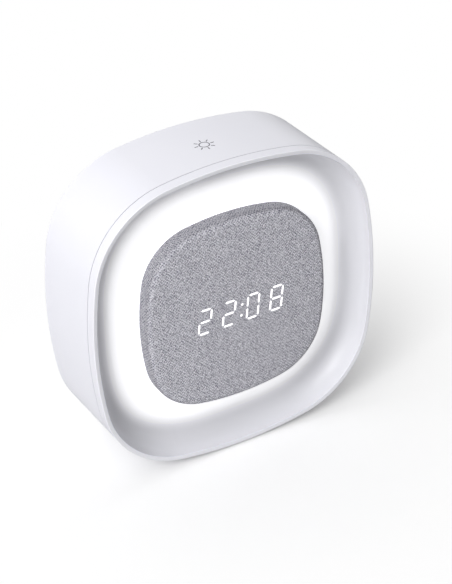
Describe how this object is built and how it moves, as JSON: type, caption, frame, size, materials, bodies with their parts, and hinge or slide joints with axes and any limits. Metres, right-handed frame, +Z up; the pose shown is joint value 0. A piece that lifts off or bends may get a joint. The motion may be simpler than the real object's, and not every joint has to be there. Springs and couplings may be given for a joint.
{
  "type": "night light alarm clock",
  "caption": "Rounded-square bedside clock: white case, concave halo light bowl and a floating grey fabric panel with a glowing time display; buttons and battery door at the back.",
  "frame": {"origin": "under the middle of the clock, on the surface that it stands on", "axes": "+X to the right seen from the front, -Y towards the front, +Z up"},
  "size_m": [0.15, 0.05, 0.1508],
  "materials": {
    "white_abs": "fine satin moulded ABS, cool white",
    "grey_abs": "satin moulded ABS, pale grey",
    "black_abs": "matt moulded ABS, black",
    "foot_rubber": "matt silicone rubber, grey",
    "melange_fabric": "fine melange weave, mid grey",
    "lit_segments": "clear light guides, lit white",
    "frosted_acrylic": "frosted opal acrylic, lit white",
    "circuit_board": "glass-epoxy board with green mask",
    "white_board": "board with white mask",
    "led_chip": "phosphor over a white package",
    "screw_steel": "zinc-plated steel",
    "nickel": "nickel-plated steel",
    "copper": "copper foil",
    "black_epoxy": "moulded epoxy, black",
    "capacitor_can": "drawn aluminium can",
    "flat_lead": "flat flexible lead, off-white",
    "red_lead": "insulated wire, red",
    "cell_sleeve": "plain shrink sleeve over a steel can"
  },
  "bodies": {
    "case": {"front_shell": "white_abs", "main_housing": "white_abs", "rear_cover": "white_abs", "rubber_feet": "foot_rubber", "fabric_cover": "melange_fabric", "panel_carrier": "black_abs", "digit_mask": "black_abs", "segment_lenses": "lit_segments", "halo_diffuser": "frosted_acrylic", "display_board": "circuit_board", "halo_board": "white_board", "main_board": "circuit_board", "display_leds": "led_chip", "halo_leds": "led_chip", "panel_screws": "screw_steel", "display_screws": "screw_steel", "rear_screws": "screw_steel", "board_screws": "screw_steel", "display_ribbon": "flat_lead", "halo_lead": "flat_lead", "touch_lead": "flat_lead", "control_chip": "black_epoxy", "clock_crystal": "nickel", "capacitors": "capacitor_can", "buzzer": "black_epoxy", "tact_switches": "black_epoxy", "slide_switch": "nickel", "usb_socket": "nickel", "usb_tongue": "black_epoxy", "battery_cells": "cell_sleeve", "left_contacts": "nickel", "right_contacts": "nickel", "battery_leads": "red_lead", "touch_electrode": "copper"},
    "set_button": {"set_button": "grey_abs", "set_stem": "black_abs"},
    "up_button": {"up_button": "grey_abs", "up_stem": "black_abs"},
    "down_button": {"down_button": "grey_abs", "down_stem": "black_abs"},
    "alarm_button": {"alarm_button": "grey_abs", "alarm_stem": "black_abs"},
    "alarm_slider": {"alarm_slider": "grey_abs", "slide_lever": "black_abs"},
    "battery_door": {"battery_door": "white_abs"}
  },
  "joints": [
    {"name": "set_press", "type": "slide", "parent": "case", "child": "set_button", "axis": [0, -1, 0], "range_m": [0, 0.0005], "stiffness_N_per_m": 600, "springref_m": -0.001},
    {"name": "up_press", "type": "slide", "parent": "case", "child": "up_button", "axis": [0, -1, 0], "range_m": [0, 0.0005], "stiffness_N_per_m": 600, "springref_m": -0.001},
    {"name": "down_press", "type": "slide", "parent": "case", "child": "down_button", "axis": [0, -1, 0], "range_m": [0, 0.0005], "stiffness_N_per_m": 600, "springref_m": -0.001},
    {"name": "alarm_press", "type": "slide", "parent": "case", "child": "alarm_button", "axis": [0, -1, 0], "range_m": [0, 0.0005], "stiffness_N_per_m": 600, "springref_m": -0.001},
    {"name": "alarm_slide", "type": "slide", "parent": "case", "child": "alarm_slider", "axis": [1, 0, 0], "range_m": [0, 0.003]},
    {"name": "door_hinge", "type": "hinge", "parent": "case", "child": "battery_door", "pos_m": [0, 0.0235, 0.03315], "axis": [-1, 0, 0], "range_deg": [0, 85]}
  ]
}
